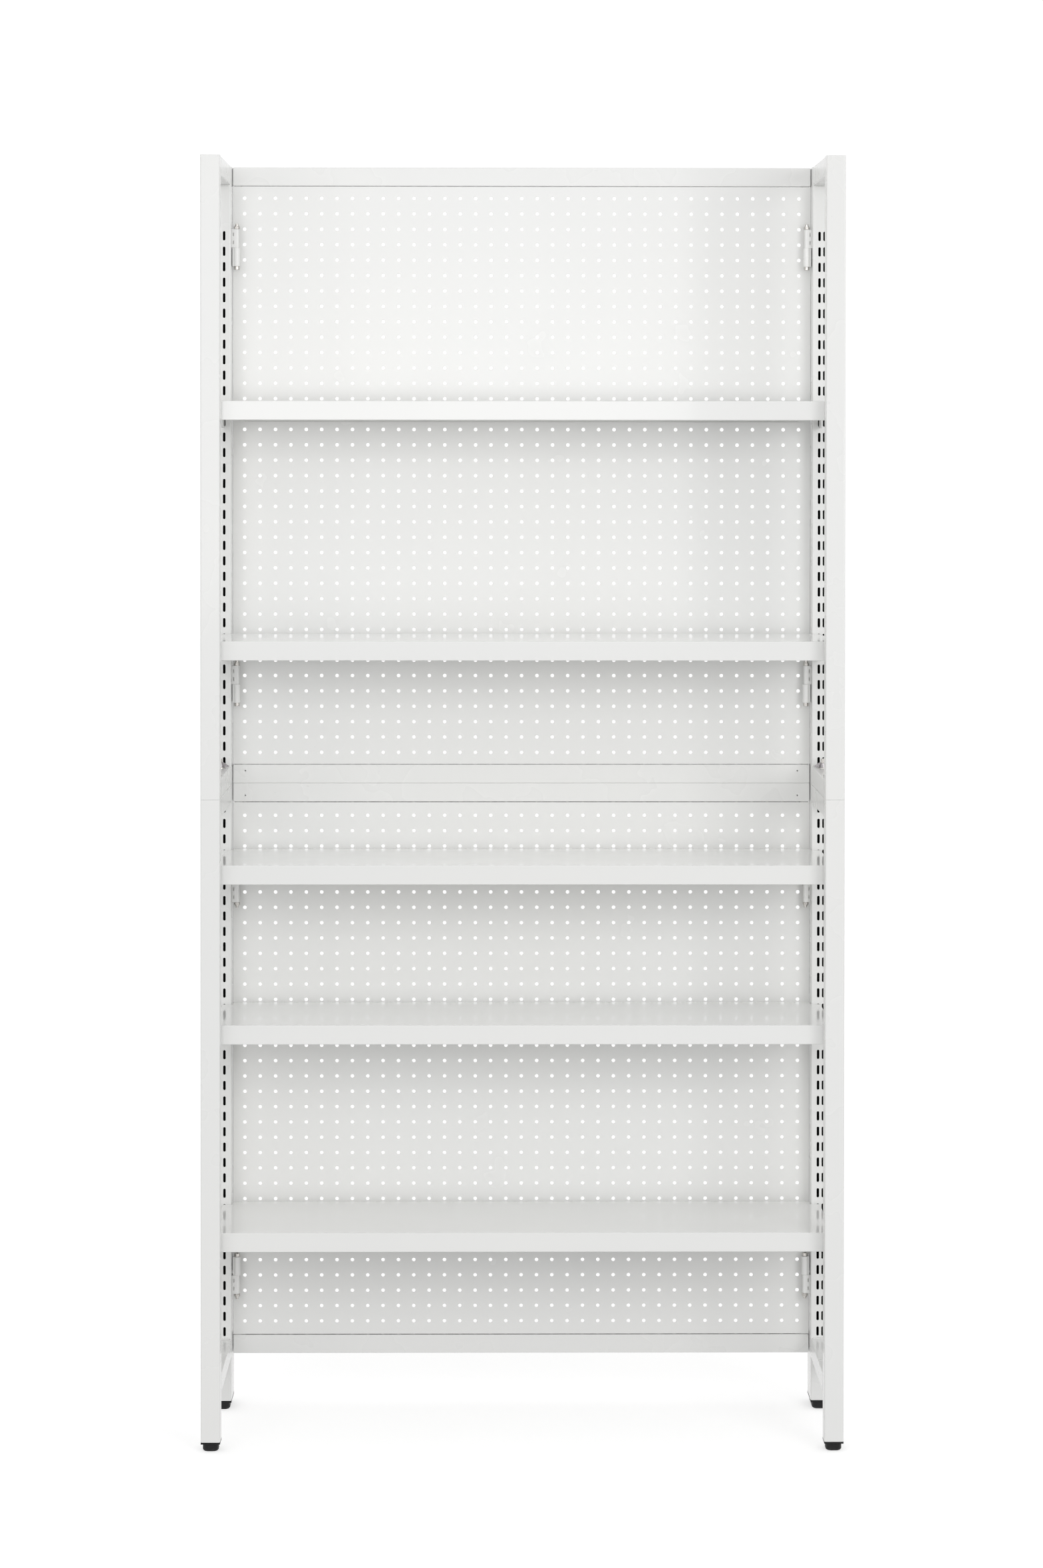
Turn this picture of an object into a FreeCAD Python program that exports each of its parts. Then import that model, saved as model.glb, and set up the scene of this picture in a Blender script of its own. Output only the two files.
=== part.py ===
import FreeCAD, Part
import math
import os
import re
import Sketcher

# Gondola shelving unit: two stacked modules, each a perforated back frame with a hinged side frame at
# either end, five hook-on shelves, and plastic feet. Millimetres, floor at Z = 0, front towards -Y.

V = FreeCAD.Vector
doc = FreeCAD.newDocument("gondola_shelving_unit")

# ------------------------------------------------------------------------------ driving dimensions
DRIVING = [
    ("unit_width", 1000),
    ("unit_depth", 300),
    ("module_height", 1000),
    ("foot_height", 15),
    ("leg_below_rail", 70),
    ("tube_size", 30),
    ("tube_wall", 1.5),
    ("rear_post_depth", 60),
    ("tube_corner", 2),
    ("slot_width", 4),
    ("slot_length", 15),
    ("slot_pitch", 25),
    ("slot_count", 35),
    ("slot_column_offset", 4),
    ("slot_near_end", 37.5),
    ("slot_far_end", 112.5),
    ("back_depth", 30),
    ("back_end_gap", 1),
    ("back_edge_round", 0.8),
    ("post_end_round", 0.5),
    ("vent_radius", 1),
    ("vent_x", 449),
    ("vent_from_joint", 20),
    ("peg_pitch", 25),
    ("peg_radius", 3),
    ("peg_columns", 37),
    ("peg_edge_margin", 15),
    ("sheet_thickness", 1.2),
    ("sheet_edge_gap", 1.2),
    ("fold_depth", 16),
    ("fold_row", 7),
    ("fold_end_gap", 1),
    ("stile_outer_x", 467),
    ("stile_width", 11.5),
    ("strap_outer_x", 468.5),
    ("strap_thickness", 1.5),
    ("strap_rear", 146),
    ("strap_notch_x", 466.6),
    ("hinge_axis_x", 461.5),
    ("hinge_axis_y", 106),
    ("hinge_from_outer_end", 131),
    ("hinge_from_joint", 162),
    ("hinge_length", 30),
    ("frame_knuckle_radius", 5.5),
    ("leaf_knuckle_radius", 3.8),
    ("hinge_bore_radius", 2.6),
    ("hinge_bolt_radius", 2.5),
    ("hinge_bolt_end", 8.5),
    ("hinge_head_radius", 4.25),
    ("hinge_head_height", 5.5),
    ("hinge_socket_radius", 2.3),
    ("hinge_socket_depth", 2.4),
    ("hinge_nut_radius", 4.62),
    ("hinge_nut_height", 4),
    ("hinge_collar_radius", 3.7),
    ("hinge_collar_height", 1.5),
    ("hinge_play", 0.1),
    ("knuckle_root_inner_x", 465.5),
    ("leaf_thickness", 1.2),
    ("leaf_flange_rear", 118),
    ("leaf_slit_inner_x", 466),
    ("leaf_slit_width", 1.5),
    ("leaf_slit_height", 5.5),
    ("leaf_slit_from_end", 8.5),
    ("shelf_half_width", 484),
    ("shelf_front", 118),
    ("shelf_rear", 88),
    ("shelf_tongue_rear", 110),
    ("shelf_tongue_half_width", 468.5),
    ("shelf_lip", 30),
    ("shelf_sheet", 1),
    ("shelf_bend", 0.8),
    ("shelf_hem_depth", 14),
    ("shelf_hem_rise", 9),
    ("shelf_back_half_width", 450),
    ("shelf_back_drop", 3),
    ("shelf_back_hem", 12),
    ("shelf_end_depth", 25),
    ("shelf_above_slot", 7),
    ("channel_half_length", 470),
    ("channel_half_width", 25),
    ("channel_depth", 20),
    ("channel_strip", 12),
    ("bracket_thickness", 2.3),
    ("bracket_inner_x", 480.4),
    ("bracket_reach", 190),
    ("bracket_root", 40),
    ("bracket_arm_height", 20),
    ("bracket_below_slot", 10),
    ("bracket_throat", 15),
    ("hook_seat", 1.05),
    ("hook_top", 0.5),
    ("hook_drop", 7),
    ("hook_play", 0.2),
    ("bolt_radius", 3),
    ("bolt_hole_radius", 3.3),
    ("bolt_end", 15),
    ("bolt_head_radius", 5.77),
    ("bolt_head_height", 4),
    ("washer_radius", 7.5),
    ("washer_bore_radius", 3.2),
    ("washer_height", 1.2),
    ("wing_nut_bore_radius", 3.1),
    ("wing_nut_base_radius", 6.2),
    ("wing_nut_neck_radius", 4.6),
    ("wing_nut_hub_height", 6.8),
    ("wing_nut_height", 8),
    ("wing_half_span", 13.2),
    ("wing_tip_height", 2.6),
    ("wing_thickness", 2),
    ("bolt_rear_y", 62),
    ("bolt_front_y", 92),
    ("foot_flange", 3),
    ("foot_inset", 2.5),
    ("foot_corner", 9),
    ("foot_dome", 4),
    ("plug_play", 0.2),
    ("plug_depth", 16),
    ("cap_play", 0.05),
    ("cap_thickness", 2),
]

sheet = doc.addObject("Spreadsheet::Sheet", "Sizes")
for row, (alias, value) in enumerate(DRIVING, start=1):
    sheet.set(f"A{row}", alias)
    sheet.set(f"B{row}", str(value))
    sheet.setAlias(f"B{row}", alias)
doc.recompute()
SIZE = {alias: float(sheet.get(alias)) for alias, _ in DRIVING}


def ex(text):
    """Expression text in which every driving dimension points at its cell in the sheet."""

    def cell(match):
        word = match.group(0)
        return "Sizes." + word if word in SIZE else word

    return re.sub(r"[a-z_]+", cell, str(text))


def num(text):
    """The value of such an expression."""
    for alias in sorted(SIZE, key=len, reverse=True):
        text = re.sub(rf"\b{alias}\b", repr(SIZE[alias]), str(text))
    total = FreeCAD.Units.Quantity(text)
    return float(total.Value)


# ------------------------------------------------------------------------------ building blocks
def bind(obj, **bindings):
    for prop, text in bindings.items():
        obj.setExpression(prop, ex(text))
    return obj


def place(obj, x="0", y="0", z="0"):
    for axis, text in zip("xyz", (x, y, z)):
        obj.setExpression(f"Placement.Base.{axis}", ex(text))
    return obj


def box(name, low, high):
    """Block between two corners, each given as three expressions."""
    obj = doc.addObject("Part::Box", name)
    for prop, start, end in zip(("Length", "Width", "Height"), low, high):
        obj.setExpression(prop, ex(f"({end}) - ({start})"))
    return place(obj, *low)


def side_box(name, side, x_range, y_range, z_range):
    """Block whose X range is a distance from the middle of the unit; side is -1 left, 1 right."""
    near, far = x_range
    if side < 0:
        near, far = f"-({far})", f"-({near})"
    return box(name, (near, y_range[0], z_range[0]), (far, y_range[1], z_range[1]))


def rod(name, radius, x, y, bottom, top):
    """Upright cylinder."""
    obj = doc.addObject("Part::Cylinder", name)
    bind(obj, Radius=radius, Height=f"({top}) - ({bottom})")
    return place(obj, x, y, bottom)


def cone(name, low_radius, high_radius, x, y, bottom, top):
    obj = doc.addObject("Part::Cone", name)
    bind(obj, Radius1=low_radius, Radius2=high_radius, Height=f"({top}) - ({bottom})")
    return place(obj, x, y, bottom)


def hexagon(name, circumradius, x, y, bottom, top):
    obj = doc.addObject("Part::Prism", name)
    obj.Polygon = 6
    bind(obj, Circumradius=circumradius, Height=f"({top}) - ({bottom})")
    return place(obj, x, y, bottom)


def fuse(name, parts):
    obj = doc.addObject("Part::MultiFuse", name)
    obj.Shapes = parts
    obj.Refine = True
    return obj


def cut(name, base, tool):
    obj = doc.addObject("Part::Cut", name)
    obj.Base = base
    obj.Tool = tool
    obj.Refine = True
    return obj


def group(name, parts):
    """Separate solids that share one node."""
    obj = doc.addObject("Part::Compound", name)
    obj.Links = parts
    return obj


def rounded(name, base, radius, wanted):
    """Rounds the edges of a solid that the test accepts."""
    base.recompute(True)
    obj = doc.addObject("Part::Fillet", name)
    obj.Base = base
    obj.Edges = [(i, radius, radius) for i, edge in enumerate(base.Shape.Edges, start=1) if wanted(edge)]
    return obj


def runs_along(axis):
    """Test for straight edges parallel to one axis (0 X, 1 Y, 2 Z)."""

    def wanted(edge):
        if len(edge.Vertexes) < 2:
            return False
        step = edge.Vertexes[1].Point - edge.Vertexes[0].Point
        return abs(abs(step[axis]) - step.Length) < 1e-6

    return wanted


def at_height(z):
    """Test for edges lying in one level plane."""

    def wanted(edge):
        return abs(edge.BoundBox.ZMin - z) < 1e-4 and abs(edge.BoundBox.ZMax - z) < 1e-4

    return wanted


def tube(name, side, x_range, y_range, z_range, axis, soft_level=None):
    """Square or rectangular tube with rounded long corners, open at both ends.

    The rim of an upright tube's end at soft_level is rounded over a little.
    """
    outer = side_box(name + "_outer", side, x_range, y_range, z_range)
    skin = rounded(name + "_skin", outer, SIZE["tube_corner"], runs_along(axis))
    if soft_level is not None:
        skin = rounded(name + "_rim", skin, SIZE["post_end_round"], at_height(num(soft_level)))
    ranges = [x_range, y_range, z_range]
    inner = [
        r if i == axis else (f"({r[0]}) + tube_wall", f"({r[1]}) - tube_wall") for i, r in enumerate(ranges)
    ]
    hollow = side_box(name + "_hollow", side, *inner)
    return cut(name, skin, hollow)


# ------------------------------------------------------------------------------ sketch helpers
def attach(sketch, body, role):
    plane = next(f for f in body.Origin.OriginFeatures if f.Role == role)
    sketch.AttachmentSupport = [(plane, "")]
    sketch.MapMode = "FlatFace"


def constrain(sketch, name, text, *args):
    """Adds a dimension to a sketch and binds it to the sheet."""
    index = sketch.addConstraint(Sketcher.Constraint(*args, num(text)))
    sketch.renameConstraint(index, name)
    sketch.setExpression(f"Constraints.{name}", ex(text))


def add_rectangle(sketch, tag, left, front, right, rear):
    """Rectangle whose four sides sit at bound distances from the sketch origin."""
    x0, y0, x1, y1 = (num(t) for t in (left, front, right, rear))
    corners = [V(x0, y0, 0), V(x1, y0, 0), V(x1, y1, 0), V(x0, y1, 0)]
    first = sketch.GeometryCount
    for i in range(4):
        sketch.addGeometry(Part.LineSegment(corners[i], corners[(i + 1) % 4]))
    for i in range(4):
        sketch.addConstraint(Sketcher.Constraint("Coincident", first + i, 2, first + (i + 1) % 4, 1))
        direction = "Horizontal" if i % 2 == 0 else "Vertical"
        sketch.addConstraint(Sketcher.Constraint(direction, first + i))
    for key, text, kind, point in (
        ("left", left, "DistanceX", (first, 1)),
        ("front", front, "DistanceY", (first, 1)),
        ("right", right, "DistanceX", (first + 1, 2)),
        ("rear", rear, "DistanceY", (first + 1, 2)),
    ):
        if abs(num(text)) < 1e-9:
            sketch.addConstraint(Sketcher.Constraint(kind, -1, 1, *point, 0.0))
        else:
            constrain(sketch, f"{tag}_{key}", text, kind, -1, 1, *point)


def add_slot(sketch, tag, x, y):
    """Upright slot with round ends, centred on a bound point."""
    cx, cy = num(x), num(y)
    radius = SIZE["slot_width"] / 2
    half = SIZE["slot_length"] / 2 - radius
    up = V(0, 0, 1)
    first = sketch.GeometryCount
    sketch.addGeometry(Part.LineSegment(V(cx + radius, cy - half, 0), V(cx + radius, cy + half, 0)))
    sketch.addGeometry(Part.ArcOfCircle(Part.Circle(V(cx, cy + half, 0), up, radius), 0, math.pi))
    sketch.addGeometry(Part.LineSegment(V(cx - radius, cy + half, 0), V(cx - radius, cy - half, 0)))
    sketch.addGeometry(Part.ArcOfCircle(Part.Circle(V(cx, cy - half, 0), up, radius), math.pi, 2 * math.pi))
    for i in range(4):
        sketch.addConstraint(Sketcher.Constraint("Tangent", first + i, 2, first + (i + 1) % 4, 1))
    sketch.addConstraint(Sketcher.Constraint("Vertical", first))
    sketch.addConstraint(Sketcher.Constraint("Equal", first + 1, first + 3))
    constrain(sketch, tag + "_radius", "slot_width / 2", "Radius", first + 1)
    constrain(sketch, tag + "_span", "slot_length - slot_width", "DistanceY", first + 3, 3, first + 1, 3)
    constrain(sketch, tag + "_x", x, "DistanceX", -1, 1, first + 3, 3)
    low_centre = f"{y} - (slot_length - slot_width) / 2"
    constrain(sketch, tag + "_y", low_centre, "DistanceY", -1, 1, first + 3, 3)


# ------------------------------------------------------------------------------ heights and depths
JOINT = "foot_height + module_height"
TOP = "foot_height + 2 * module_height"
LOW_RAIL = "foot_height + leg_below_rail"
FRONT = "-unit_depth / 2"
REAR = "unit_depth / 2"
FRONT_POST_REAR = "-unit_depth / 2 + tube_size"
REAR_POST_FRONT = "unit_depth / 2 - rear_post_depth"
OUTER_X = "unit_width / 2"
INNER_X = "unit_width / 2 - tube_size"
BACK_FRONT = "unit_depth / 2 - back_depth"
BACK_END_X = "unit_width / 2 - tube_size - back_end_gap"
SIDES = (("left", -1), ("right", 1))
BOLT_X = "unit_width / 2 - tube_size / 2"
BOLT_YS = ("bolt_rear_y", "-bolt_front_y")

# module name, underside of the posts, underside of the bottom rails, top of the module
MODULES = (
    ("lower", "foot_height", LOW_RAIL, JOINT),
    ("upper", JOINT, JOINT, TOP),
)

# Levels where the two halves of each hinge meet. In the upper module the half on the post stands up from
# there and the half on the back frame hangs down; in the lower module it is the other way round.
HINGE_LEVELS = {
    "upper": (f"{TOP} - hinge_from_outer_end", f"{JOINT} + hinge_from_joint"),
    "lower": (f"{JOINT} - hinge_from_joint", f"{LOW_RAIL} + hinge_from_outer_end"),
}
LEAF_STANDS_UP = {"upper": True, "lower": False}


def hinge_half(meet, up):
    """Lower and upper end of one half of a hinge."""
    return (meet, f"{meet} + hinge_length") if up else (f"{meet} - hinge_length", meet)


nodes = []


# ------------------------------------------------------------------------------ side frames
def rear_post(name, side, bottom, first_slot):
    """Deep rear upright with two columns of bracket slots in its front wall."""
    body = doc.addObject("PartDesign::Body", name)
    section = body.newObject("Sketcher::SketchObject", name + "_section")
    attach(section, body, "XY_Plane")
    add_rectangle(section, "outer", "0", "0", "tube_size", "rear_post_depth")
    add_rectangle(
        section, "inner", "tube_wall", "tube_wall", "tube_size - tube_wall", "rear_post_depth - tube_wall"
    )
    pad = body.newObject("PartDesign::Pad", name + "_length")
    pad.Profile = section
    bind(pad, Length="module_height")
    doc.recompute()
    width, depth = SIZE["tube_size"], SIZE["rear_post_depth"]
    corners = []
    for i, edge in enumerate(pad.Shape.Edges, start=1):
        centre = edge.BoundBox.Center
        at_corner = min(centre.x, width - centre.x) < 0.1 and min(centre.y, depth - centre.y) < 0.1
        if runs_along(2)(edge) and at_corner:
            corners.append(f"Edge{i}")
    fillet = body.newObject("PartDesign::Fillet", name + "_corners")
    fillet.Base = (pad, corners)
    bind(fillet, Radius="tube_corner")
    slots = body.newObject("Sketcher::SketchObject", name + "_slot_pair")
    attach(slots, body, "XZ_Plane")
    add_slot(slots, "left", "tube_size / 2 - slot_column_offset", first_slot)
    add_slot(slots, "right", "tube_size / 2 + slot_column_offset", first_slot)
    pocket = body.newObject("PartDesign::Pocket", name + "_slots")
    pocket.Profile = slots
    pocket.Type = "Length"
    bind(pocket, Length="tube_wall + 1")
    doc.recompute()
    if pocket.Shape.Volume > fillet.Shape.Volume - 1:
        pocket.Reversed = True
    pattern = body.newObject("PartDesign::LinearPattern", name + "_slot_row")
    pattern.Originals = [pocket]
    pattern.Direction = (slots, ["V_Axis"])
    bind(pattern, Length="slot_pitch * (slot_count - 1)", Occurrences="slot_count")
    body.Tip = pattern
    x = INNER_X if side > 0 else f"-({OUTER_X})"
    return place(body, x, REAR_POST_FRONT, bottom)


def side_rail(name, side, bottom, drilled):
    """Tube between the two posts, drilled through where the modules are bolted together."""
    levels = (bottom, f"{bottom} + tube_size")
    plain_name = name + "_plain" if drilled else name
    rail = tube(plain_name, side, (INNER_X, OUTER_X), (FRONT_POST_REAR, REAR_POST_FRONT), levels, 1)
    if not drilled:
        return rail
    x = BOLT_X if side > 0 else f"-({BOLT_X})"
    drills = [
        rod(f"{name}_drill_{i}", "bolt_hole_radius", x, y, f"{bottom} - 1", f"{bottom} + tube_size + 1")
        for i, y in enumerate(BOLT_YS)
    ]
    return cut(name, rail, fuse(name + "_drills", drills))


for module, post_foot, rail_foot, top in MODULES:
    first_slot = "slot_far_end" if module == "lower" else "slot_near_end"
    for word, side in SIDES:
        prefix = f"{module}_{word}_"
        front_levels = (post_foot, top)
        front_x, front_y = (INNER_X, OUTER_X), (FRONT, FRONT_POST_REAR)
        nodes.append(tube(prefix + "front_post", side, front_x, front_y, front_levels, 2, JOINT))
        nodes.append(rear_post(prefix + "rear_post", side, post_foot, first_slot))
        nodes.append(side_rail(prefix + "top_rail", side, f"{top} - tube_size", module == "lower"))
        nodes.append(side_rail(prefix + "bottom_rail", side, rail_foot, module == "upper"))


# ------------------------------------------------------------------------------ back frames
def back_rail(name, bottom, at_joint):
    """Full-width rail of a back frame, a closed box; the two that meet at the joint have vent holes."""
    top = f"{bottom} + tube_size"
    ends = (f"-({BACK_END_X})", BACK_END_X)
    outer = box(name + "_outer", (ends[0], BACK_FRONT, bottom), (ends[1], REAR, top))
    ends_rounded = rounded(name + "_ends", outer, SIZE["tube_corner"], runs_along(1))
    skin = rounded(name + "_skin", ends_rounded, SIZE["back_edge_round"], runs_along(0))
    hollow = box(
        name + "_hollow",
        (f"{ends[0]} + tube_wall", f"{BACK_FRONT} + tube_wall", f"{bottom} + tube_wall"),
        (f"{ends[1]} - tube_wall", f"{REAR} - tube_wall", f"{top} - tube_wall"),
    )
    openings = [hollow]
    for word, side in SIDES if at_joint else ():
        vent = doc.addObject("Part::Cylinder", f"{name}_{word}_vent")
        bind(vent, Radius="vent_radius", Height="tube_wall + 2")
        vent.Placement.Rotation = FreeCAD.Rotation(V(1, 0, 0), -90)
        level = f"{JOINT} + vent_from_joint" if bottom == JOINT else f"{JOINT} - vent_from_joint"
        openings.append(place(vent, f"{side} * vent_x", f"{BACK_FRONT} - 1", level))
    tool = hollow if len(openings) == 1 else fuse(name + "_openings", openings)
    return cut(name, skin, tool)


def back_stiles(name, bottom, top):
    """The two slim box uprights that carry the sheet between the rails."""
    x_range = ("stile_outer_x - stile_width", "stile_outer_x")
    y_range = (f"{BACK_FRONT} + sheet_thickness", REAR)
    return group(name, [tube(f"{name}_{w}", s, x_range, y_range, (bottom, top), 2) for w, s in SIDES])


def sheet_outline(half, low, high, notches):
    """Closed outline in the XZ plane, stepped in at both sides over each range of heights in notches."""
    right = [(half, low)]
    for start, end in notches:
        step = SIZE["strap_notch_x"]
        right += [(half, start), (step, start), (step, end), (half, end)]
    right.append((half, high))
    left = [(-x, z) for x, z in reversed(right)]
    return Part.makePolygon([V(x, 0, z) for x, z in right + left + right[:1]])


def drilled_sheet(half, low, high, rows, notches=()):
    """Sheet with round holes in the XZ plane: every row is a height, on the columns of the grid."""
    pitch, columns = SIZE["peg_pitch"], int(SIZE["peg_columns"])
    wires = [sheet_outline(half, low, high, notches)]
    for z in rows:
        for column in range(columns):
            centre = V(pitch * (column - (columns - 1) / 2), 0, z)
            wires.append(Part.Wire(Part.Circle(centre, V(0, 1, 0), SIZE["peg_radius"]).toShape()))
    face = Part.Face(wires)
    if not face.isValid():
        face.validate()
    return face.extrude(V(0, SIZE["sheet_thickness"], 0))


def panel_fold(name, level, up):
    """Edge of the sheet folded back between the stiles at a rail; the next row of the grid falls on it."""
    thickness = SIZE["sheet_thickness"]
    fold = doc.addObject("Part::Feature", name)
    half = num("stile_outer_x - stile_width - fold_end_gap")
    fold.Shape = drilled_sheet(half, 0, SIZE["fold_depth"] - thickness, [SIZE["fold_row"] - thickness])
    fold.Placement.Rotation = FreeCAD.Rotation(V(1, 0, 0), -90)
    return place(fold, y=f"{BACK_FRONT} + sheet_thickness", z=level if up else f"{level} + sheet_thickness")


def peg_panel(name, bottom, top, split_row, straps):
    """Sheet with a square grid of round holes centred in the opening, its level edges folded back.

    Each sheet is held as two nodes, main and top, that meet flush between two rows behind a shelf, to
    keep their meshes small. split_row is how many rows the main node has. straps are the heights, from
    and to, at which the sheet is notched for the hinge straps.
    """
    pitch = SIZE["peg_pitch"]
    low, high = num(f"{bottom} + sheet_edge_gap"), num(f"{top} - sheet_edge_gap")
    count = int((high - low - 2 * SIZE["peg_edge_margin"]) // pitch) + 1
    rows = [(low + high) / 2 + pitch * (row - (count - 1) / 2) for row in range(count)]
    split = (rows[split_row - 1] + rows[split_row]) / 2
    halves = (
        ("main", low, split, rows[:split_row], f"{bottom} + sheet_edge_gap", False),
        ("top", split, high, rows[split_row:], f"{top} - sheet_edge_gap", True),
    )
    made = []
    for word, start, end, half_rows, edge, up in halves:
        notches = [(z0, z1) for z0, z1 in sorted(straps) if start < z0 and z1 < end]
        face = doc.addObject("Part::Feature", f"{name}_{word}_face")
        face.Shape = drilled_sheet(num(BACK_END_X), start, end, half_rows, notches)
        fold = panel_fold(f"{name}_{word}_fold", edge, up)
        made.append(group(f"{name}_{word}", [place(face, y=BACK_FRONT), fold]))
    return made


# Rows below the split: it lies behind the rear edge of shelf 4 in the lower module, shelf 1 in the upper.
SPLIT_ROWS = {"lower": 21, "upper": 23}

for module, _, rail_foot, top in MODULES:
    opening = (f"{rail_foot} + tube_size", f"{top} - tube_size")
    nodes.append(back_rail(f"{module}_back_top_rail", f"{top} - tube_size", module == "lower"))
    nodes.append(back_rail(f"{module}_back_bottom_rail", rail_foot, module == "upper"))
    nodes.append(back_stiles(f"{module}_back_stiles", *opening))
    straps = []
    for level in HINGE_LEVELS[module]:
        low, high = hinge_half(level, not LEAF_STANDS_UP[module])
        straps.append((num(low), num(high)))
    nodes.extend(peg_panel(f"{module}_peg_panel", *opening, SPLIT_ROWS[module], straps))


# ------------------------------------------------------------------------------ hinges
def post_leaf(name, side, meet, up):
    """Sheet leaf on a post: flange on the post's side, slitted plate, rolled eye round the bolt."""
    low, high = hinge_half(meet, up)
    x = f"{side} * hinge_axis_x"
    plate_y = "hinge_axis_y - leaf_knuckle_radius"
    flange_x, plate_x = (f"{INNER_X} - leaf_thickness", INNER_X), ("hinge_axis_x", INNER_X)
    flange = side_box(name + "_flange", side, flange_x, (plate_y, "leaf_flange_rear"), (low, high))
    plate_depth = (plate_y, f"{plate_y} + leaf_thickness")
    plate = side_box(name + "_plate", side, plate_x, plate_depth, (low, high))
    eye = rod(name + "_eye", "leaf_knuckle_radius", x, "hinge_axis_y", low, high)
    bore = rod(name + "_bore", "hinge_bore_radius", x, "hinge_axis_y", f"{low} - 1", f"{high} + 1")
    slits = []
    slit_x = ("leaf_slit_inner_x", "leaf_slit_inner_x + leaf_slit_width")
    slit_y = (f"{plate_y} - 1", f"{plate_y} + leaf_thickness + 1")
    for i, middle in enumerate((f"{low} + leaf_slit_from_end", f"{high} - leaf_slit_from_end")):
        slit_z = (f"{middle} - leaf_slit_height / 2", f"{middle} + leaf_slit_height / 2")
        slits.append(side_box(f"{name}_slit_{i}", side, slit_x, slit_y, slit_z))
    solid = fuse(name + "_solid", [flange, plate, eye])
    return cut(name, solid, fuse(name + "_openings", [bore] + slits))


def frame_knuckle(name, side, meet, up):
    """Tube knuckle on a strap that is welded to the outer face of a back stile."""
    low, high = hinge_half(meet, up)
    x = f"{side} * hinge_axis_x"
    barrel = rod(name + "_barrel", "frame_knuckle_radius", x, "hinge_axis_y", low, high)
    root_x, root_y = ("knuckle_root_inner_x", "strap_outer_x"), ("hinge_axis_y - 3", "hinge_axis_y + 5")
    root = side_box(name + "_root", side, root_x, root_y, (low, high))
    strap_x = ("strap_outer_x - strap_thickness", "strap_outer_x")
    strap_z = (f"{low} + 0.5", f"{high} - 0.5")
    strap = side_box(name + "_strap", side, strap_x, ("hinge_axis_y", "strap_rear"), strap_z)
    bore = rod(name + "_bore", "hinge_bore_radius", x, "hinge_axis_y", f"{low} - 1", f"{high} + 1")
    return cut(name, fuse(name + "_solid", [barrel, root, strap]), bore)


def hinge_bolt(name, side, meet, up):
    """Socket head screw; its head bears on the frame knuckle, its end stands out past the nut."""
    x, y = f"{side} * hinge_axis_x", "hinge_axis_y"
    sign = "+" if up else "-"

    def level(distance):
        return f"{meet} {sign} ({distance})"

    def along(part, radius, start, end):
        ends = (level(start), level(end)) if up else (level(end), level(start))
        return rod(part, radius, x, y, *ends)

    seat = "-hinge_length - hinge_play"
    head_end = f"{seat} - hinge_head_height"
    head = along(name + "_head", "hinge_head_radius", head_end, seat)
    shank = along(name + "_shank", "hinge_bolt_radius", f"{seat} - 1", "hinge_length + hinge_bolt_end")
    socket_ends = (f"{head_end} - 1", f"{head_end} + hinge_socket_depth")
    ends = [level(t) for t in (socket_ends if up else socket_ends[::-1])]
    socket = hexagon(name + "_socket", "hinge_socket_radius", x, y, *ends)
    return cut(name, fuse(name + "_solid", [head, shank]), socket)


def hinge_nut(name, side, meet, up):
    """Locking hexagon nut with a plain collar, on the leaf's end of the bolt."""
    x, y = f"{side} * hinge_axis_x", "hinge_axis_y"
    sign = "+" if up else "-"
    seat = f"{meet} {sign} (hinge_length + hinge_play)"
    shoulder = f"{seat} {sign} hinge_nut_height"
    end = f"{shoulder} {sign} hinge_collar_height"
    lower, upper = (seat, shoulder) if up else (shoulder, seat)
    body = hexagon(name + "_hexagon", "hinge_nut_radius", x, y, lower, upper)
    lower, upper = (shoulder, end) if up else (end, shoulder)
    collar = rod(name + "_collar", "hinge_collar_radius", x, y, lower, upper)
    bore_ends = (f"{seat} - 2 * hinge_nut_height", f"{seat} + 2 * hinge_nut_height")
    bore = rod(name + "_bore", "hinge_bore_radius", x, y, *bore_ends)
    return cut(name, fuse(name + "_solid", [body, collar]), bore)


# node name, maker, whether it belongs to the half on the post
HINGE_PARTS = (
    ("post_leaves", post_leaf, True),
    ("frame_knuckles", frame_knuckle, False),
    ("hinge_bolts", hinge_bolt, True),
    ("hinge_nuts", hinge_nut, True),
)
for module, levels in HINGE_LEVELS.items():
    for part, make, on_leaf_side in HINGE_PARTS:
        up = LEAF_STANDS_UP[module] == on_leaf_side
        solids = []
        for i, level in enumerate(levels):
            for word, side in SIDES:
                solids.append(make(f"{module}_{part}_{word}_{i}", side, level, up))
        nodes.append(group(f"{module}_{part}", solids))


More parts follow.
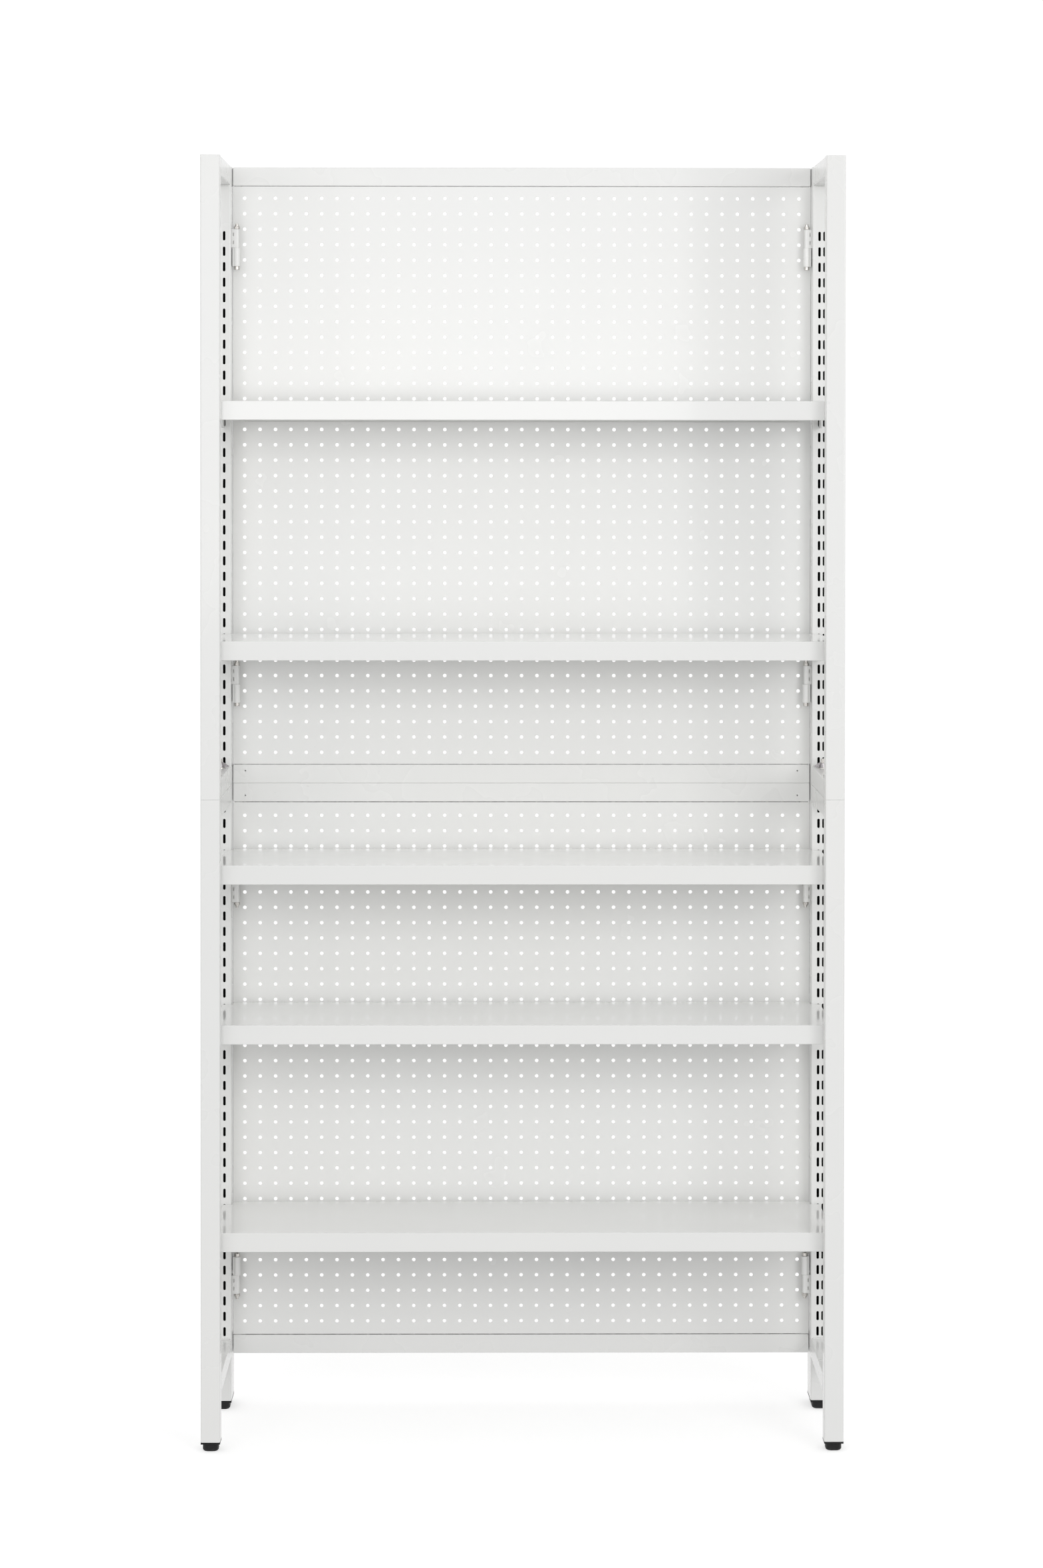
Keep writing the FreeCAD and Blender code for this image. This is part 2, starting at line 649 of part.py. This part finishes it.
# ------------------------------------------------------------------------------ shelves
def tray(name, top):
    """Folded shelf: flat top with a tongue between the rear posts, deep lip, hems and end flanges."""
    wide, tongue = "shelf_half_width", "shelf_tongue_half_width"
    front, rear, back = "-shelf_front", "shelf_rear", "shelf_tongue_rear"
    skin, deep = "shelf_sheet", "shelf_lip"
    low = f"{top} - {deep}"
    hem_rear, hem_top = f"{front} + shelf_hem_depth", f"{low} + shelf_hem_rise"
    back_x, back_low = "shelf_back_half_width", f"{low} - shelf_back_drop"
    back_hem = f"{back} - shelf_back_hem"
    pieces = [
        box(name + "_top", (f"-{wide}", front, f"{top} - {skin}"), (wide, rear, top)),
        box(name + "_tongue", (f"-{tongue}", f"{rear} - 1", f"{top} - {skin}"), (tongue, back, top)),
        box(name + "_lip", (f"-{wide}", front, low), (wide, f"{front} + {skin}", top)),
        box(name + "_hem", (f"-{wide}", front, low), (wide, hem_rear, f"{low} + {skin}")),
        box(name + "_hem_up", (f"-{wide}", f"{hem_rear} - {skin}", low), (wide, hem_rear, hem_top)),
        box(name + "_back", (f"-{back_x}", f"{back} - {skin}", back_low), (back_x, back, top)),
        box(name + "_back_hem", (f"-{back_x}", back_hem, back_low), (back_x, back, f"{back_low} + {skin}")),
    ]
    for word, side in SIDES:
        flange_x = (f"{wide} - {skin}", wide)
        flange_z = (f"{top} - shelf_end_depth", top)
        pieces.append(side_box(f"{name}_{word}_end", side, flange_x, (front, rear), flange_z))
    solid = fuse(name + "_folds", pieces)
    front_y, top_z = -SIZE["shelf_front"], num(top)

    def front_bend(edge):
        centre = edge.BoundBox.Center
        level = abs(centre.z - top_z) < 1e-4 or abs(centre.z - (top_z - SIZE["shelf_lip"])) < 1e-4
        return runs_along(0)(edge) and level and abs(centre.y - front_y) < 1e-4

    return rounded(name, solid, SIZE["shelf_bend"], front_bend)


def stiffener(name, top):
    """Hat channel spot welded under the middle of a tray, foot strips up."""
    under = f"{top} - shelf_sheet"
    low = f"{under} - channel_depth"
    skin, half = "shelf_sheet", "channel_half_width"
    ends = ("-channel_half_length", "channel_half_length")
    web = box(name + "_web", (ends[0], f"-{half}", low), (ends[1], half, f"{low} + {skin}"))
    pieces = [web]
    for word, wall, strip in (
        ("front", (f"-{half}", f"-{half} + {skin}"), (f"-{half} - channel_strip", f"-{half} + {skin}")),
        ("rear", (f"{half} - {skin}", half), (f"{half} - {skin}", f"{half} + channel_strip")),
    ):
        leg = box(f"{name}_{word}_leg", (ends[0], wall[0], low), (ends[1], wall[1], under))
        foot_strip = box(
            f"{name}_{word}_strip", (ends[0], strip[0], f"{under} - {skin}"), (ends[1], strip[1], under)
        )
        pieces += [leg, foot_strip]
    return fuse(name, pieces)


def bracket(name, side, slot):
    """Plate blade with two hooks that pass through the post's inner slots and hang behind its wall."""
    blade_top = f"{slot} + shelf_above_slot - shelf_sheet"
    x_range = ("bracket_inner_x", "bracket_inner_x + bracket_thickness")
    wall_rear = f"{REAR_POST_FRONT} + tube_wall"
    pieces = []
    low_slot = f"{slot} - slot_pitch"
    blade_low = f"{low_slot} - bracket_below_slot"
    face = REAR_POST_FRONT
    root_front = f"{face} - bracket_root"
    pieces.append(side_box(name + "_root", side, x_range, (root_front, face), (blade_low, blade_top)))
    arm_z = (f"{blade_top} - bracket_arm_height", blade_top)
    pieces.append(side_box(name + "_arm", side, x_range, (f"{face} - bracket_reach", root_front), arm_z))
    for i, level in enumerate((slot, low_slot)):
        neck = (f"{level} - slot_length / 2 + hook_seat", f"{level} + hook_top")
        hook_y = (f"{wall_rear} + hook_play", f"{wall_rear} + hook_play + bracket_thickness")
        pieces.append(side_box(f"{name}_neck_{i}", side, x_range, (face, hook_y[1]), neck))
        drop = (f"{neck[0]} - hook_drop", neck[1])
        pieces.append(side_box(f"{name}_hook_{i}", side, x_range, hook_y, drop))
    solid = fuse(name + "_blade", pieces)
    corner_y = num(root_front)
    low_z = num(blade_low)

    def throat(edge):
        centre = edge.BoundBox.Center
        outer_corner = abs(centre.z - low_z) < 1e-4 and abs(centre.y - corner_y) < 1e-4
        return runs_along(0)(edge) and outer_corner

    return rounded(name, solid, SIZE["bracket_throat"], throat)


SHELF_SLOTS = [f"{JOINT} + slot_near_end + slot_pitch * {n}" for n in (23, 8)]
SHELF_SLOTS += [f"foot_height + slot_far_end + slot_pitch * {n}" for n in (31, 21, 8)]
for number, slot in enumerate(SHELF_SLOTS, start=1):
    top = f"{slot} + shelf_above_slot"
    nodes.append(tray(f"shelf_{number}_tray", top))
    nodes.append(stiffener(f"shelf_{number}_stiffener", top))
    pair = [bracket(f"shelf_{number}_bracket_{word}", side, slot) for word, side in SIDES]
    nodes.append(group(f"shelf_{number}_brackets", pair))


# ------------------------------------------------------------------------------ stacking hardware
def stacking_bolt(name, x, y):
    """Hexagon bolt up through both side rails, with its end standing out of the wing nut."""
    rail_bottom, rail_top = f"{JOINT} - tube_size", f"{JOINT} + tube_size"
    head_low = f"{rail_bottom} - bolt_head_height"
    head = hexagon(name + "_head", "bolt_head_radius", x, y, head_low, rail_bottom)
    shank = rod(name + "_shank", "bolt_radius", x, y, f"{rail_bottom} - 1", f"{rail_top} + bolt_end")
    return fuse(name, [head, shank])


def washer(name, x, y):
    base = f"{JOINT} + tube_size"
    disc = rod(name + "_disc", "washer_radius", x, y, base, f"{base} + washer_height")
    hole = rod(name + "_hole", "washer_bore_radius", x, y, f"{base} - 1", f"{base} + washer_height + 1")
    return cut(name, disc, hole)


def wing_nut(name, x, y):
    """Coned hub with two thin wings that slope down to their tips."""
    base = f"{JOINT} + tube_size + washer_height"
    hub_top = f"{base} + wing_nut_hub_height"
    hub = cone(name + "_hub", "wing_nut_base_radius", "wing_nut_neck_radius", x, y, base, hub_top)
    span, half = SIZE["wing_half_span"], SIZE["wing_thickness"] / 2
    shoulder, rise, tip = SIZE["wing_nut_neck_radius"], SIZE["wing_nut_height"], SIZE["wing_tip_height"]
    right = [(span, 0), (span, tip), (shoulder, rise)]
    left = [(-across, up) for across, up in reversed(right)]
    outline = [V(across, -half, up) for across, up in right + left + right[:1]]
    wings = doc.addObject("Part::Feature", name + "_wings")
    wings.Shape = Part.Face(Part.makePolygon(outline)).extrude(V(0, 2 * half, 0))
    wings.Placement.Base = V(num(x), num(y), num(base))
    thread_top = f"{base} + wing_nut_height + 1"
    thread = rod(name + "_thread", "wing_nut_bore_radius", x, y, f"{base} - 1", thread_top)
    return cut(name, fuse(name + "_solid", [hub, wings]), thread)


STACKING_PARTS = (
    ("stacking_bolts", stacking_bolt),
    ("stacking_washers", washer),
    ("stacking_wing_nuts", wing_nut),
)
for plural, make in STACKING_PARTS:
    solids = []
    for word, side in SIDES:
        for i, y in enumerate(BOLT_YS):
            solids.append(make(f"{plural}_{word}_{i}", f"{side} * ({BOLT_X})", y))
    nodes.append(group(plural, solids))


# ------------------------------------------------------------------------------ feet and caps
def inset(ends, margin):
    """A range drawn in by the same margin at both ends."""
    return f"{ends[0]} + ({margin})", f"{ends[1]} - ({margin})"


def foot(name, side, y_range):
    """Plug pressed into a tube end: square flange, rounded dome on the floor, block inside the tube."""
    outer_x = (INNER_X, OUTER_X)
    flange_z = ("foot_height - foot_flange", "foot_height")
    flange = side_box(name + "_flange", side, outer_x, y_range, flange_z)
    dome_x, dome_y = inset(outer_x, "foot_inset"), inset(y_range, "foot_inset")
    dome = side_box(name + "_dome_block", side, dome_x, dome_y, ("0", "foot_height - foot_flange + 1"))
    dome_round = rounded(name + "_dome_sides", dome, SIZE["foot_corner"], runs_along(2))
    dome_floor = rounded(name + "_dome", dome_round, SIZE["foot_dome"], at_height(0))
    plug_x, plug_y = inset(outer_x, "tube_wall + plug_play"), inset(y_range, "tube_wall + plug_play")
    plug = side_box(name + "_plug", side, plug_x, plug_y, ("foot_height - 1", "foot_height + plug_depth"))
    return fuse(name, [flange, dome_floor, plug])


def cap(name, side, y_range):
    """Thin plate that closes the top of an upper post, flush with its end."""
    margin = "tube_wall + cap_play"
    levels = (f"{TOP} - cap_thickness", TOP)
    return side_box(name, side, inset((INNER_X, OUTER_X), margin), inset(y_range, margin), levels)


FRONT_POST_Y = (FRONT, FRONT_POST_REAR)
REAR_POST_Y = (REAR_POST_FRONT, REAR)
nodes.append(group("front_feet", [foot(f"front_foot_{w}", s, FRONT_POST_Y) for w, s in SIDES]))
nodes.append(group("rear_feet", [foot(f"rear_foot_{w}", s, REAR_POST_Y) for w, s in SIDES]))
caps = []
for word, side in SIDES:
    caps.append(cap(f"top_cap_{word}_front", side, FRONT_POST_Y))
    caps.append(cap(f"top_cap_{word}_rear", side, REAR_POST_Y))
nodes.append(group("top_caps", caps))

# ------------------------------------------------------------------------------ checks and export
doc.recompute()
for obj in doc.Objects:
    if "Invalid" in obj.State or "Error" in obj.State:
        raise RuntimeError(f"{obj.Label} did not recompute: {obj.State}")

os.makedirs("parts", exist_ok=True)
for node in nodes:
    shape = node.Shape
    if shape.isNull() or not shape.isValid():
        raise RuntimeError(f"{node.Label} has no valid shape")
    if not shape.Solids:
        raise RuntimeError(f"{node.Label} has no solid")
    shape.exportStep(os.path.join("parts", node.Label + ".step"))
    print(node.Label, len(shape.Solids), round(sum(s.Volume for s in shape.Solids) / 1000, 1), "cm3")
print(len(nodes), "nodes")
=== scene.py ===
import math

import bmesh
import bpy
import numpy as np
from mathutils import Matrix, Vector


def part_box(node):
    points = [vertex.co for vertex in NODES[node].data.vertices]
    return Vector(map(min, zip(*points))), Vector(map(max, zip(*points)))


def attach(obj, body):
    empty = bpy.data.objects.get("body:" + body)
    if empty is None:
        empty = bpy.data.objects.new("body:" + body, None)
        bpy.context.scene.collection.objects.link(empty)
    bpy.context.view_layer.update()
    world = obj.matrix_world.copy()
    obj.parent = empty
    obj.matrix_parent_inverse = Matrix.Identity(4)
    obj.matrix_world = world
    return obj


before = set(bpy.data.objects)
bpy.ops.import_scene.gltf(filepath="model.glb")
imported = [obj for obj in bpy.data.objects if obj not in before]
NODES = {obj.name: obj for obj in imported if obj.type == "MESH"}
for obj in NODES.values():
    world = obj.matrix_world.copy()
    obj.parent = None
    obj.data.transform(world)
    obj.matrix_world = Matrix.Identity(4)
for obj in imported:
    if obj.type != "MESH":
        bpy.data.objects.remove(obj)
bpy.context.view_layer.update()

# Looks of the gondola shelving unit: paint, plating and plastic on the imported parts, weld beads at the
# side rails, studio and camera. Metres, floor at Z = 0, front towards -Y.

scene = bpy.context.scene


# ------------------------------------------------------------------------------ node helpers
class Shader:
    """A material's node tree in the making, with one Principled shader at its end."""

    def __init__(self, name):
        self.material = bpy.data.materials.new(name)
        self.material.use_nodes = True
        self.tree = self.material.node_tree
        self.tree.nodes.clear()
        output = self.node("ShaderNodeOutputMaterial")
        self.bsdf = self.node("ShaderNodeBsdfPrincipled")
        self.link(self.bsdf.outputs["BSDF"], output.inputs["Surface"])
        self.place = self.node("ShaderNodeTexCoord").outputs["Object"]

    def node(self, kind, **settings):
        made = self.tree.nodes.new(kind)
        for key, value in settings.items():
            setattr(made, key, value)
        return made

    def link(self, output, socket):
        self.tree.links.new(output, socket)

    def stretched(self, scale):
        mapping = self.node("ShaderNodeMapping")
        mapping.inputs["Scale"].default_value = scale
        self.link(self.place, mapping.inputs["Vector"])
        return mapping.outputs["Vector"]

    def noise(self, scale, detail, roughness=0.5, distortion=0.0, vector=None):
        made = self.node("ShaderNodeTexNoise")
        made.inputs["Scale"].default_value = scale
        made.inputs["Detail"].default_value = detail
        made.inputs["Roughness"].default_value = roughness
        made.inputs["Distortion"].default_value = distortion
        self.link(vector or self.place, made.inputs["Vector"])
        return made.outputs["Fac"]

    def cells(self, scale):
        """Distance to the nearest of scattered points, in cells of 1 / scale metres."""
        made = self.node("ShaderNodeTexVoronoi")
        made.inputs["Scale"].default_value = scale
        self.link(self.place, made.inputs["Vector"])
        return made.outputs["Distance"]

    def ramp(self, value, low, high, start=0.0, end=1.0):
        """Smooth step from start, where value is low, to end, where it is high."""
        made = self.node("ShaderNodeMapRange", interpolation_type="SMOOTHSTEP")
        for key, number in (("From Min", low), ("From Max", high), ("To Min", start), ("To Max", end)):
            made.inputs[key].default_value = number
        self.link(value, made.inputs["Value"])
        return made.outputs["Result"]

    def math(self, operation, a, b):
        made = self.node("ShaderNodeMath", operation=operation)
        for socket, value in zip(made.inputs, (a, b)):
            if isinstance(value, (int, float)):
                socket.default_value = value
            else:
                self.link(value, socket)
        return made.outputs[0]

    def times(self, a, b):
        return self.math("MULTIPLY", a, b)

    def plus(self, a, b):
        return self.math("ADD", a, b)

    def mix(self, factor, a, b):
        """Colour a where factor is 0, b where it is 1."""
        made = self.node("ShaderNodeMix", data_type="RGBA")
        for socket, value in zip((made.inputs[0], made.inputs[6], made.inputs[7]), (factor, a, b)):
            if isinstance(value, tuple):
                socket.default_value = (*value, 1.0)
            else:
                self.link(value, socket)
        return made.outputs[2]

    def bump(self, height, distance, normal=None):
        made = self.node("ShaderNodeBump")
        made.inputs["Distance"].default_value = distance
        self.link(height, made.inputs["Height"])
        if normal is not None:
            self.link(normal, made.inputs["Normal"])
        return made.outputs["Normal"]

    def soft_edges(self, radius):
        """Normals rounded over at every edge, and a mask of where that happens."""
        bevel = self.node("ShaderNodeBevel", samples=4)
        bevel.inputs["Radius"].default_value = radius
        geometry = self.node("ShaderNodeNewGeometry")
        turned = self.node("ShaderNodeVectorMath", operation="DOT_PRODUCT")
        self.link(bevel.outputs["Normal"], turned.inputs[0])
        self.link(geometry.outputs["Normal"], turned.inputs[1])
        return bevel.outputs["Normal"], self.ramp(turned.outputs["Value"], 0.99, 0.8)

    def seams(self, reach):
        """Mask of narrow gaps, grooves and inner corners, found by ambient occlusion, for painted shade."""
        occlusion = self.node("ShaderNodeAmbientOcclusion", samples=5)
        occlusion.inputs["Distance"].default_value = reach
        return self.ramp(occlusion.outputs["AO"], 0.6, 0.25)

    def finish(self, colour, roughness, normal, **constants):
        self.link(colour, self.bsdf.inputs["Base Color"])
        self.link(roughness, self.bsdf.inputs["Roughness"])
        self.link(normal, self.bsdf.inputs["Normal"])
        for key, value in constants.items():
            self.bsdf.inputs[key.replace("_", " ")].default_value = value
        return self.material


def shade(colour, factor):
    """The same colour, darker where factor is under 1 and lighter where it is over 1."""
    return tuple(c * factor for c in colour)


# ------------------------------------------------------------------------------ materials
EDGE_RADIUS, FINE_EDGE_RADIUS = 0.0008, 0.0005
SEAM_REACH = 0.0022

# How much of the paint's brightness is left at each kind of mark and in the painted seam shade, and how much
# of the mark shows.
SMUDGE, SPECK, RUB, SEAM_SHADE = 0.975, 0.45, 0.8, 0.3
SMUDGE_COVER, SPECK_COVER, RUB_COVER = 0.25, 0.55, 0.15
COOL_TINT = (0.993, 0.996, 1.0)
PAINT_IOR, PLASTIC_IOR = 1.5, 1.46
GLOSS_SPREAD = 0.015

DUST_TOP, DUST_THICK = 0.006, 0.0005
DUST_COVER, SCUFF_COVER = 0.6, 0.4

PLATE_RINGS = (350.0, 350.0, 5200.0)
WHITE = (0.85, 0.85, 0.836)


def powder_coat(name, colour, warp, peel, rough, coat=0.3, coat_rough=0.08):
    """White powder coat: orange peel, faint smudges, rare specks, handled edges, painted shade in the seams.

    warp is how far the sheet waves and peel how deep the orange peel is, in metres. rough is the
    roughness, and coat and coat_rough are the weight and roughness of the glossy layer on top.
    """
    s = Shader(name)
    cool = tuple(c * tint for c, tint in zip(colour, COOL_TINT))
    tone = s.mix(s.ramp(s.noise(1.7, 2), 0.35, 0.65), colour, cool)
    smudges = s.ramp(s.noise(7, 4, 0.5, 0.2), 0.4, 0.9, 0.0, SMUDGE_COVER)
    tone = s.mix(smudges, tone, shade(colour, SMUDGE))
    specks = s.times(s.ramp(s.cells(60), 0.03, 0.02), s.ramp(s.noise(31, 1), 0.64, 0.68))
    tone = s.mix(s.times(specks, SPECK_COVER), tone, shade(colour, SPECK))
    normal, edge = s.soft_edges(EDGE_RADIUS)
    rubbed = s.times(edge, s.ramp(s.noise(160, 4, 0.6), 0.6, 0.72, 0.0, RUB_COVER))
    tone = s.mix(rubbed, tone, shade(colour, RUB))
    # Painted shade: colour darkened in gaps, grooves and inner corners, where ambient occlusion finds shade.
    tone = s.mix(s.seams(SEAM_REACH), tone, shade(colour, SEAM_SHADE))
    if warp:
        normal = s.bump(s.noise(3.5, 2), warp, normal)
    grain = s.plus(s.noise(620, 2, 0.45), s.times(s.noise(210, 1), 1.6))
    normal = s.bump(grain, peel, normal)
    gloss = s.ramp(s.noise(9, 3), 0.3, 0.75, rough - GLOSS_SPREAD, rough + GLOSS_SPREAD)
    gloss = s.plus(gloss, s.times(rubbed, 0.3))
    return s.finish(tone, gloss, normal, IOR=PAINT_IOR, Coat_Weight=coat, Coat_Roughness=coat_rough)


def moulded_plastic(name, colour):
    """Black moulded plastic: spark-eroded grain, dust low down, scuffs on the edges."""
    s = Shader(name)
    height = s.node("ShaderNodeSeparateXYZ")
    s.link(s.place, height.inputs[0])
    dust = tuple(c * 4 + 0.02 for c in colour)
    tone = s.mix(s.ramp(s.noise(60, 5, 0.6), 0.4, 0.7, 0.0, 0.6), colour, shade(colour, 1.9))
    low = s.ramp(height.outputs["Z"], DUST_TOP, DUST_THICK)
    low = s.times(low, s.ramp(s.noise(240, 5), 0.4, 0.62))
    tone = s.mix(s.times(low, DUST_COVER), tone, dust)
    normal, edge = s.soft_edges(EDGE_RADIUS)
    scuffs = s.times(edge, s.ramp(s.noise(420, 3), 0.5, 0.65))
    tone = s.mix(s.times(scuffs, SCUFF_COVER), tone, dust)
    grain = s.plus(s.cells(1900), s.times(s.noise(900, 3), 0.8))
    normal = s.bump(grain, 0.00008, normal)
    gloss = s.plus(s.ramp(s.noise(90, 4), 0.3, 0.7, 0.36, 0.5), s.times(low, 0.25))
    return s.finish(tone, gloss, normal, IOR=PLASTIC_IOR, Specular_IOR_Level=0.3)


def plated(name, colour, rough):
    """Zinc or nickel plate on turned steel: fine rings, cloudy patches, edges worn bright."""
    s = Shader(name)
    tone = s.mix(s.ramp(s.noise(330, 5, 0.65, 1.2), 0.38, 0.68), colour, shade(colour, 0.62))
    rings = s.noise(1.0, 2, vector=s.stretched(PLATE_RINGS))
    normal, edge = s.soft_edges(FINE_EDGE_RADIUS)
    tone = s.mix(s.times(edge, 0.5), tone, shade(colour, 1.3))
    normal = s.bump(rings, 0.00004, normal)
    gloss = s.ramp(s.noise(760, 4, 0.7), 0.3, 0.75, rough - 0.07, rough + 0.1)
    return s.finish(tone, gloss, normal, Metallic=1.0)


def bare_steel(name):
    """Unpainted inside of a tube: dark mill scale with a bloom of dust."""
    s = Shader(name)
    tone = s.mix(s.ramp(s.noise(55, 6, 0.65), 0.35, 0.7), (0.004, 0.004, 0.004), (0.012, 0.011, 0.010))
    normal = s.bump(s.noise(400, 4), 0.0001)
    gloss = s.ramp(s.noise(120, 3), 0.3, 0.7, 0.7, 0.9)
    return s.finish(tone, gloss, normal, Specular_IOR_Level=0.1)


TUBE_PAINT = powder_coat("powder_coat_tube", WHITE, 0.0, 0.00002, 0.28)
SHEET_PAINT = powder_coat("powder_coat_sheet", WHITE, 0.0004, 0.00002, 0.26)
SHELF_PAINT = powder_coat("powder_coat_shelf", WHITE, 0.0002, 0.000005, 0.16, coat=0.6, coat_rough=0.05)
PLASTIC = moulded_plastic("black_plastic", (0.007, 0.007, 0.0075))
NICKEL = plated("nickel_plate", (0.62, 0.60, 0.57), 0.24)
ZINC = plated("dark_zinc", (0.42, 0.40, 0.41), 0.30)
INSIDE = bare_steel("tube_inside")


def material_for(name):
    if name.endswith("feet"):
        return PLASTIC
    if "hinge_bolts" in name or "hinge_nuts" in name or name in ("stacking_bolts", "stacking_washers"):
        return NICKEL
    if name == "stacking_wing_nuts":
        return ZINC
    if name.endswith("_tray"):
        return SHELF_PAINT
    return SHEET_PAINT if "panel" in name else TUBE_PAINT


def darken_inside(node, wall):
    """Gives the second material to the faces deeper than the wall, which line a tube's hollow."""
    low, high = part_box(node.name)
    mesh = node.data
    centres = np.zeros(len(mesh.polygons) * 3)
    mesh.polygons.foreach_get("center", centres)
    x, y, _ = centres.reshape(-1, 3).T
    inside = (x > low.x + wall) & (x < high.x - wall) & (y > low.y + wall) & (y < high.y - wall)
    mesh.polygons.foreach_set("material_index", inside.astype(np.int32))


TUBE_WALL, ROUNDING_SLACK = 0.0015, 0.00001
for name, node in NODES.items():
    node.data.materials.clear()
    node.data.materials.append(material_for(name))
    if name.endswith("_post"):
        node.data.materials.append(INSIDE)
        darken_inside(node, TUBE_WALL - ROUNDING_SLACK)

# ------------------------------------------------------------------------------ weld beads
BEAD_RIPPLES = 15
BEAD_LENGTH, BEAD_WIDTH = 0.021, 0.0032
DROP_ALONG, DROP_ACROSS = 0.62, 0.5
DROP_LIFT, DROP_SWELL = 0.12, 0.12


def add_bead(mesh, middle, out):
    """Row of overlapping drops along X in the corner that opens towards out (signs of Y and Z)."""
    pitch = BEAD_LENGTH / BEAD_RIPPLES
    lift = DROP_LIFT * BEAD_WIDTH
    for i in range(BEAD_RIPPLES):
        along = (i - (BEAD_RIPPLES - 1) / 2) * pitch
        size = BEAD_WIDTH * (1.0 + DROP_SWELL * math.sin(2.4 * i + 40 * middle.x))
        place = middle + Vector((along, out[0] * lift, out[1] * lift))
        radii = (DROP_ALONG * size, DROP_ACROSS * size, DROP_ACROSS * size, 1.0)
        shape = Matrix.Translation(place) @ Matrix.Diagonal(radii)
        bmesh.ops.create_icosphere(mesh, subdivisions=3, radius=1.0, matrix=shape)


def weld_beads(name):
    """Beads on the inward side of one side rail, where it meets its two posts."""
    low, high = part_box(name)
    inward = -1 if "top" in name else 1
    z = low.z if inward < 0 else high.z
    x = (low.x + high.x) / 2
    mesh = bmesh.new()
    add_bead(mesh, Vector((x, low.y, z)), (1, inward))
    add_bead(mesh, Vector((x, high.y, z)), (-1, inward))
    data = bpy.data.meshes.new(name + "_welds")
    mesh.to_mesh(data)
    mesh.free()
    data.polygons.foreach_set("use_smooth", [True] * len(data.polygons))
    data.materials.append(TUBE_PAINT)
    piece = bpy.data.objects.new(name + "_welds", data)
    scene.collection.objects.link(piece)
    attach(piece, "frame")


for name in NODES:
    if name.endswith(("left_top_rail", "right_top_rail", "left_bottom_rail", "right_bottom_rail")):
        weld_beads(name)

# ------------------------------------------------------------------------------ studio
# The paper floor looks white but sends no diffuse light up to the unit. The walls are white only round
# the horizon and greyer above and below, so that the shadows under the shelves stay.
FLOOR_SIZE = 60.0
FLOOR_GLOW = 0.57
FLOOR_GREYS = (0.60, 0.60, 0.60), (0.61, 0.61, 0.61)
WALL_WHITE, CEILING_GREY, GROUND_GREY = 1.07, 0.72, 0.42

bpy.ops.mesh.primitive_plane_add(size=FLOOR_SIZE)
floor = bpy.context.object
floor.name = "studio_floor"
floor.visible_diffuse = False
s = Shader("studio_paper")
paper = s.mix(s.ramp(s.noise(1.4, 3), 0.3, 0.7), *FLOOR_GREYS)
rough = s.ramp(s.noise(30, 3), 0.3, 0.7, 0.85, 0.95)
s.finish(paper, rough, s.bump(s.noise(500, 2), 0.0001), Specular_IOR_Level=0.0, Emission_Strength=FLOOR_GLOW)
s.bsdf.inputs["Emission Color"].default_value = (1.0, 1.0, 1.0, 1.0)
floor.data.materials.append(s.material)


def studio_walls():
    """World that is grey below, white round the horizon and paler grey overhead."""
    world = bpy.data.worlds.new("studio")
    world.use_nodes = True
    tree = world.node_tree
    direction = tree.nodes.new("ShaderNodeTexCoord")
    axes = tree.nodes.new("ShaderNodeSeparateXYZ")
    tree.links.new(direction.outputs["Generated"], axes.inputs[0])
    ramp = tree.nodes.new("ShaderNodeValToRGB")
    stops = ramp.color_ramp
    # The ramp runs from straight down, 0, over the horizon, 0.5, to straight up, 1.
    stops.elements[0].position, stops.elements[1].position = 0.43, 0.465
    for place in (0.58, 0.66):
        stops.elements.new(place)
    for stop, level in zip(stops.elements, (GROUND_GREY, WALL_WHITE, WALL_WHITE, CEILING_GREY)):
        stop.color = (level, level, level, 1.0)
    half = tree.nodes.new("ShaderNodeMath")
    half.operation = "MULTIPLY_ADD"
    half.inputs[1].default_value = half.inputs[2].default_value = 0.5
    tree.links.new(axes.outputs["Z"], half.inputs[0])
    tree.links.new(half.outputs[0], ramp.inputs["Fac"])
    tree.links.new(ramp.outputs["Color"], tree.nodes["Background"].inputs["Color"])
    return world


scene.world = studio_walls()

# Softboxes: where each stands, the point it faces and its power in watts.
SOFTBOX_SIZE = 1.6
SOFTBOXES = {
    "front": ((-0.3, -4.2, 1.9), (0.0, 0.0, 1.4), 16.0),
    "right": ((2.2, -3.6, 2.0), (0.0, 0.0, 1.2), 31.0),
    "left": ((-2.2, -3.6, 2.0), (0.0, 0.0, 1.2), 10.0),
}
for name, (place, target, power) in SOFTBOXES.items():
    light = bpy.data.lights.new(name, "AREA")
    light.shape = "SQUARE"
    light.size = SOFTBOX_SIZE
    light.energy = power
    holder = bpy.data.objects.new(name, light)
    scene.collection.objects.link(holder)
    holder.location = place
    holder.rotation_euler = (Vector(target) - Vector(place)).to_track_quat("-Z", "Y").to_euler()

# ------------------------------------------------------------------------------ camera
# It stands a little left of the middle, 5 cm lower than the top shelf. The lens shift frames the unit.
CAMERA_PLACE = (-0.0445, -5.6888, 1.5852)
CAMERA_YAW, CAMERA_PITCH, CAMERA_ROLL = 0.00759, 0.01338, -0.00074
FOCAL_PX, SHIFT_PX, IMAGE_HEIGHT = 5373.6, 456.4, 2357
SENSOR_MM = 36.0
lens = bpy.data.cameras.new("camera")
lens.sensor_width = SENSOR_MM
lens.lens = FOCAL_PX / IMAGE_HEIGHT * SENSOR_MM
lens.shift_y = -SHIFT_PX / IMAGE_HEIGHT
lens.clip_end = 200.0
camera = bpy.data.objects.new("camera", lens)
scene.collection.objects.link(camera)
camera.location = CAMERA_PLACE
camera.rotation_euler = (math.pi / 2 - CAMERA_PITCH, CAMERA_ROLL, -CAMERA_YAW)
scene.camera = camera

scene.view_settings.view_transform = "Standard"
scene.cycles.use_denoising = True
scene.cycles.diffuse_bounces = 6
